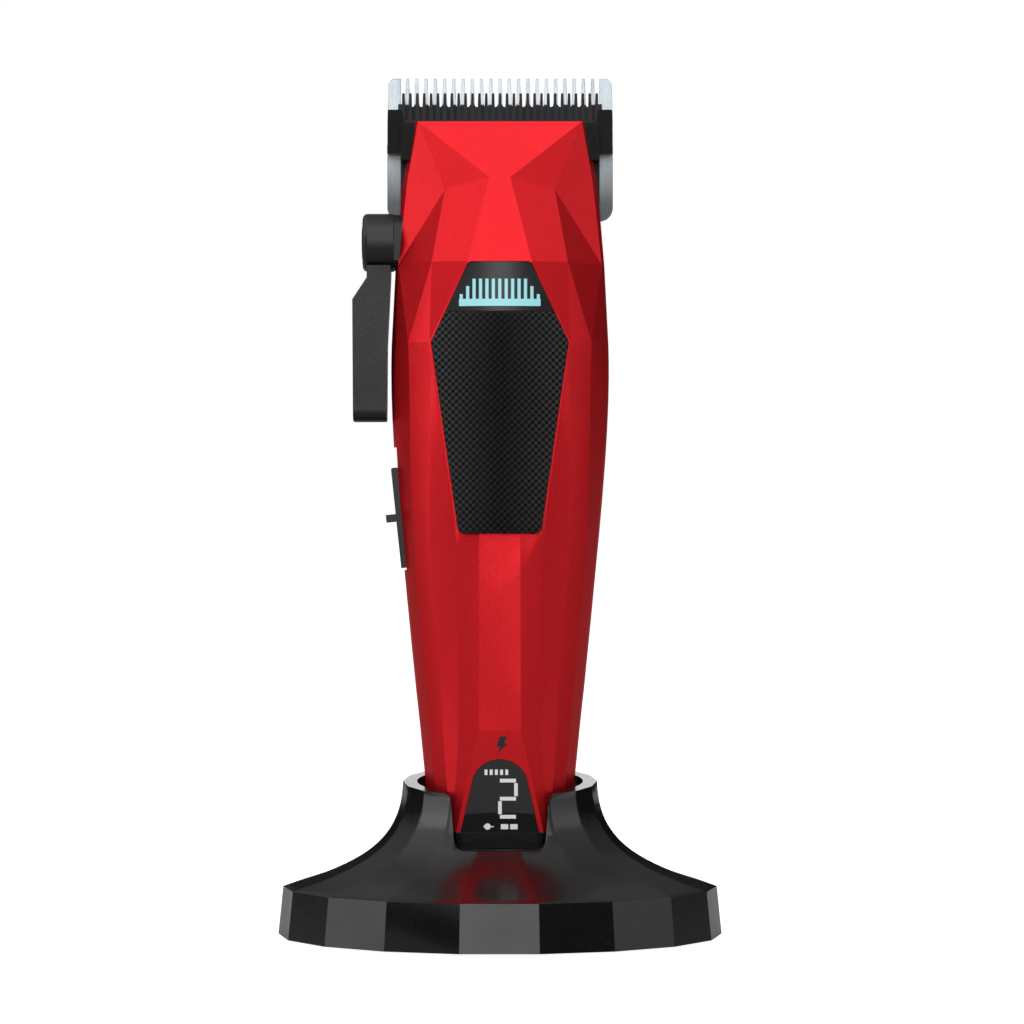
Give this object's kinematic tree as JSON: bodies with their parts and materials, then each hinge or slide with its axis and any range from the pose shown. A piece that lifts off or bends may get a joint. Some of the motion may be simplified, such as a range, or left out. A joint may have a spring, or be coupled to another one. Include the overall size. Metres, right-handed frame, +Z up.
{
  "type": "hair clipper",
  "caption": "Cordless hair clipper with faceted body, taper lever, slide switch and digital display, standing in a many-sided charging stand.",
  "frame": {"origin": "centre of the stand's underside, at the level of the feet", "axes": "+Z up along the standing clipper, -Y towards the clipper's face with its grip panel and display, -X towards the taper lever and power switch"},
  "size_m": [0.0914, 0.09, 0.1772],
  "materials": {
    "red_paint": "metallic paint, satin clear coat",
    "black_moulding": "fine spark-eroded satin",
    "stand_black": "satin",
    "grip_rubber": "raised diamond checker",
    "badge_black": "satin gloss",
    "emblem_blue": "printed, satin",
    "display_glass": "polished",
    "display_light": "lit segments",
    "mark_print": "printed",
    "blade_steel": "ground and lapped",
    "cutter_black": "black carbon coating",
    "plain_steel": "zinc plated",
    "motor_steel": "plated",
    "copper": "bare winding and laminations",
    "brass": "turned",
    "gold_contact": "gold plated",
    "magnet": "ferrite",
    "board_green": "solder mask",
    "battery_wrap": "shrink sleeve",
    "ballast_steel": "as cast",
    "foot_rubber": "matt",
    "lead_sleeve": "plain",
    "inner_plastic": "moulded",
    "yoke_plastic": "acetal"
  },
  "bodies": {
    "stand": {"stand_shell": "stand_black", "cradle_cup": "stand_black", "stand_base_plate": "stand_black", "stand_feet": "foot_rubber", "stand_screws": "plain_steel", "stand_ballast": "ballast_steel", "contact_block": "inner_plastic", "stand_circuit_board": "board_green", "stand_inlet": "plain_steel", "stand_lead": "lead_sleeve", "contact_spring_left": "plain_steel", "contact_spring_right": "plain_steel"},
    "contact_pin_left": {"contact_pin_left": "gold_contact"},
    "contact_pin_right": {"contact_pin_right": "gold_contact"},
    "clipper": {"front_cover": "red_paint", "rear_cover": "red_paint", "housing_screws": "plain_steel", "bottom_cap": "black_moulding", "charge_pads": "gold_contact", "clipper_inlet": "plain_steel", "head_block": "black_moulding", "head_screws": "plain_steel", "inner_chassis": "inner_plastic", "grip_pad": "grip_rubber", "badge_plate": "badge_black", "badge_emblem": "emblem_blue", "display_window": "display_glass", "display_digit": "display_light", "display_icons": "display_light", "face_mark": "mark_print", "display_board": "board_green", "battery_cell": "battery_wrap", "battery_tabs": "plain_steel", "main_circuit_board": "board_green", "slide_switch": "inner_plastic", "motor_can": "motor_steel", "motor_end_cap": "inner_plastic", "motor_magnets": "magnet", "motor_bearings": "brass", "motor_screws": "plain_steel", "cutter_spring": "plain_steel", "lever_bush": "black_moulding"},
    "motor_rotor": {"motor_shaft": "plain_steel", "motor_armature": "copper", "eccentric_drive": "plain_steel"},
    "cutter": {"cutter_blade": "cutter_black", "drive_yoke": "yoke_plastic"},
    "blade_carriage": {"blade_carriage_plate": "plain_steel", "fixed_blade": "blade_steel", "blade_screws": "plain_steel"},
    "taper_lever": {"taper_lever_arm": "black_moulding", "lever_shaft": "plain_steel", "lever_screw": "plain_steel", "lever_cap": "black_moulding"},
    "power_switch": {"switch_button": "black_moulding"}
  },
  "joints": [
    {"name": "clipper_lift", "type": "slide", "parent": "stand", "child": "clipper", "axis": [0, 0, 1], "range_m": [0, 0.045]},
    {"name": "contact_pin_left_press", "type": "slide", "parent": "stand", "child": "contact_pin_left", "axis": [0, 0, 1], "range_m": [-0.0008, 0], "stiffness_N_per_m": 150, "springref_m": 0.0008, "deforming": ["contact_spring_left"]},
    {"name": "contact_pin_right_press", "type": "slide", "parent": "stand", "child": "contact_pin_right", "axis": [0, 0, 1], "range_m": [-0.0008, 0], "stiffness_N_per_m": 150, "springref_m": 0.0008, "deforming": ["contact_spring_right"]},
    {"name": "taper_lever_turn", "type": "hinge", "parent": "clipper", "child": "taper_lever", "pos_m": [-0.025, 0.0003, 0.1428], "axis": [-1, 0, 0], "range_deg": [0, 60]},
    {"name": "blade_carriage_slide", "type": "slide", "parent": "clipper", "child": "blade_carriage", "axis": [0, 0, 1], "range_m": [-0.0022, 0]},
    {"name": "cutter_stroke", "type": "slide", "parent": "clipper", "child": "cutter", "axis": [1, 0, 0], "range_m": [-0.00125, 0.00125]},
    {"name": "motor_spin", "type": "hinge", "parent": "clipper", "child": "motor_rotor", "pos_m": [0, 0, 0.122], "axis": [0, 0, 1], "continuous": true},
    {"name": "power_switch_slide", "type": "slide", "parent": "clipper", "child": "power_switch", "axis": [-0.1028, 0, 0.9947], "range_m": [0, 0.0038]}
  ],
  "couplings": [
    {"joint": "taper_lever_turn", "follows": "blade_carriage_slide", "rad_per_m": -475.9}
  ]
}
